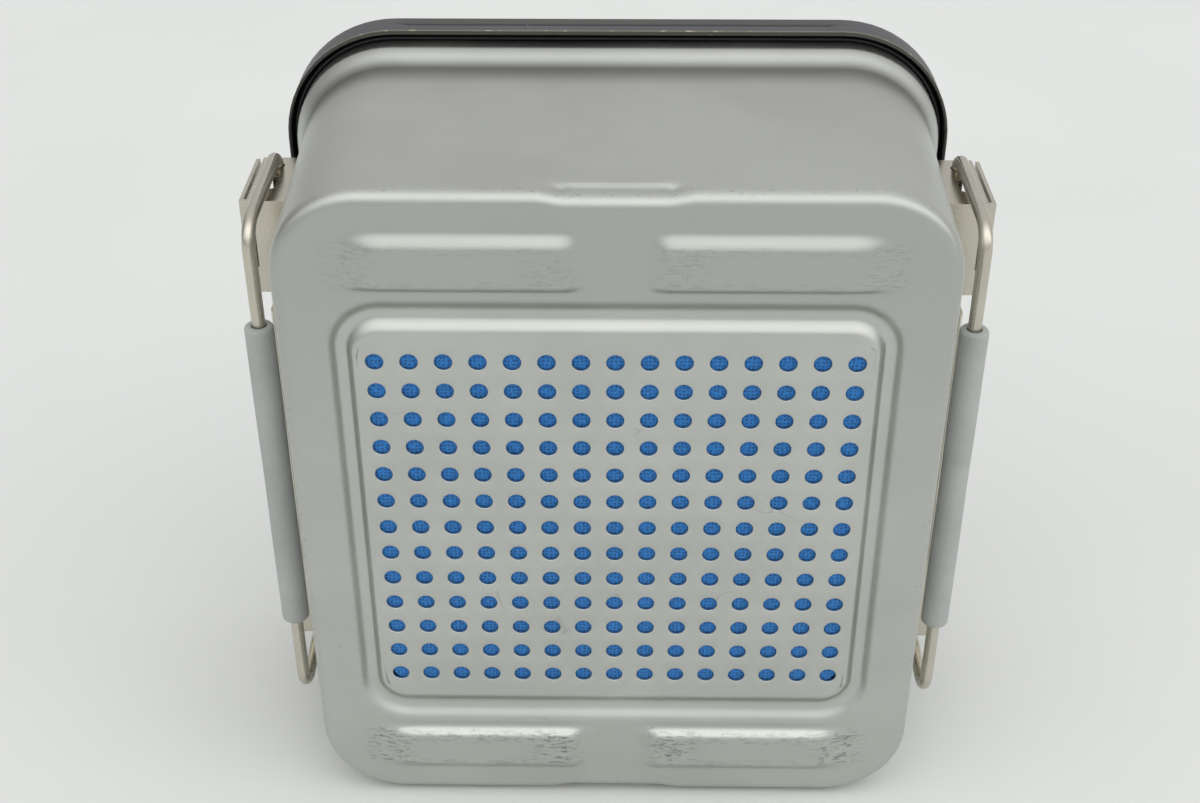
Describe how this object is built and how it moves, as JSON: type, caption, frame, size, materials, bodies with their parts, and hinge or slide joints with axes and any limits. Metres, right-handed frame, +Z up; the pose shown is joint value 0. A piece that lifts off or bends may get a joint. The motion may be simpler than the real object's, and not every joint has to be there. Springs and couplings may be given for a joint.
{
  "type": "sterilisation container",
  "caption": "Half-length rigid sterilisation container with perforated bottom, filters, latched lid and folding bail handles, stood on its side.",
  "frame": {"origin": "centre of the bounding box in x and y, on the surface the container stands on", "axes": "+Z up, with the container on one long side wall; +X to the right across the two handles; +Y from the perforated bottom towards the lid, which rises a little because the lid is wider than the bottom"},
  "size_m": [0.2784, 0.1596, 0.297],
  "materials": {
    "base_aluminium": "satin natural anodised, worn",
    "lid_anodised": "dark grey anodised, bare metal showing at the worn edge",
    "stainless_steel": "satin",
    "retainer_steel": "satin",
    "rivet_aluminium": "satin",
    "grip_silicone": "matt moulded silicone",
    "seal_silicone": "matt",
    "filter_nonwoven": "blue spunbond nonwoven with bonded dots"
  },
  "bodies": {
    "base": {"base_shell": "base_aluminium", "base_filter": "filter_nonwoven", "base_filter_retainer": "retainer_steel", "base_bolt_guide_upper": "retainer_steel", "base_lug_upper": "retainer_steel", "base_bolt_guide_lower": "retainer_steel", "base_lug_lower": "retainer_steel", "latch_catch_left": "stainless_steel", "handle_bracket_left_upper": "stainless_steel", "catch_rivet_left_upper": "rivet_aluminium", "bracket_rivet_left_upper_1": "rivet_aluminium", "bracket_rivet_left_upper_2": "rivet_aluminium", "handle_bracket_left_lower": "stainless_steel", "catch_rivet_left_lower": "rivet_aluminium", "bracket_rivet_left_lower_1": "rivet_aluminium", "bracket_rivet_left_lower_2": "rivet_aluminium", "latch_catch_right": "stainless_steel", "handle_bracket_right_upper": "stainless_steel", "catch_rivet_right_upper": "rivet_aluminium", "bracket_rivet_right_upper_1": "rivet_aluminium", "bracket_rivet_right_upper_2": "rivet_aluminium", "handle_bracket_right_lower": "stainless_steel", "catch_rivet_right_lower": "rivet_aluminium", "bracket_rivet_right_lower_1": "rivet_aluminium", "bracket_rivet_right_lower_2": "rivet_aluminium"},
    "handle_left_bail": {"handle_rod_left": "stainless_steel", "grip_left": "grip_silicone", "push_nut_left_upper": "stainless_steel", "push_nut_left_lower": "stainless_steel"},
    "handle_right_bail": {"handle_rod_right": "stainless_steel", "grip_right": "grip_silicone", "push_nut_right_upper": "stainless_steel", "push_nut_right_lower": "stainless_steel"},
    "lid": {"lid_shell": "lid_anodised", "lid_gasket": "seal_silicone", "lid_filter": "filter_nonwoven", "lid_filter_retainer": "retainer_steel", "lid_bolt_guide_upper": "retainer_steel", "lid_lug_upper": "retainer_steel", "lid_bolt_guide_lower": "retainer_steel", "lid_lug_lower": "retainer_steel", "latch_bracket_left": "stainless_steel", "latch_pin_left": "stainless_steel", "latch_rivet_left_upper": "rivet_aluminium", "latch_rivet_left_lower": "rivet_aluminium", "latch_bracket_right": "stainless_steel", "latch_pin_right": "stainless_steel", "latch_rivet_right_upper": "rivet_aluminium", "latch_rivet_right_lower": "rivet_aluminium"},
    "latch_left_plate": {"latch_left": "stainless_steel"},
    "latch_right_plate": {"latch_right": "stainless_steel"},
    "base_bolt_upper_slider": {"base_bolt_upper": "retainer_steel"},
    "base_bolt_lower_slider": {"base_bolt_lower": "retainer_steel"},
    "lid_bolt_upper_slider": {"lid_bolt_upper": "retainer_steel"},
    "lid_bolt_lower_slider": {"lid_bolt_lower": "retainer_steel"}
  },
  "joints": [
    {"name": "handle_left_swing", "type": "hinge", "parent": "base", "child": "handle_left_bail", "pos_m": [-0.13, 0.02564, 0.14571], "axis": [0, 0.0931, -0.9957], "range_deg": [0, 100]},
    {"name": "handle_right_swing", "type": "hinge", "parent": "base", "child": "handle_right_bail", "pos_m": [0.13, 0.02564, 0.14571], "axis": [0, -0.0931, 0.9957], "range_deg": [0, 100]},
    {"name": "lid_lift", "type": "slide", "parent": "base", "child": "lid", "axis": [0, 0.9957, 0.0931], "range_m": [0, 0.15]},
    {"name": "latch_left_swing", "type": "hinge", "parent": "lid", "child": "latch_left_plate", "pos_m": [-0.1337, 0.0573, 0.14867], "axis": [0, 0.0931, -0.9957], "range_deg": [0, 110]},
    {"name": "latch_right_swing", "type": "hinge", "parent": "lid", "child": "latch_right_plate", "pos_m": [0.1337, 0.0573, 0.14867], "axis": [0, -0.0931, 0.9957], "range_deg": [0, 110]},
    {"name": "base_bolt_upper_slide", "type": "slide", "parent": "base", "child": "base_bolt_upper_slider", "axis": [0, 0.0931, -0.9957], "range_m": [0, 0.006]},
    {"name": "base_bolt_lower_slide", "type": "slide", "parent": "base", "child": "base_bolt_lower_slider", "axis": [0, -0.0931, 0.9957], "range_m": [0, 0.006]},
    {"name": "lid_bolt_upper_slide", "type": "slide", "parent": "lid", "child": "lid_bolt_upper_slider", "axis": [0, 0.0931, -0.9957], "range_m": [0, 0.006]},
    {"name": "lid_bolt_lower_slide", "type": "slide", "parent": "lid", "child": "lid_bolt_lower_slider", "axis": [0, -0.0931, 0.9957], "range_m": [0, 0.006]}
  ]
}
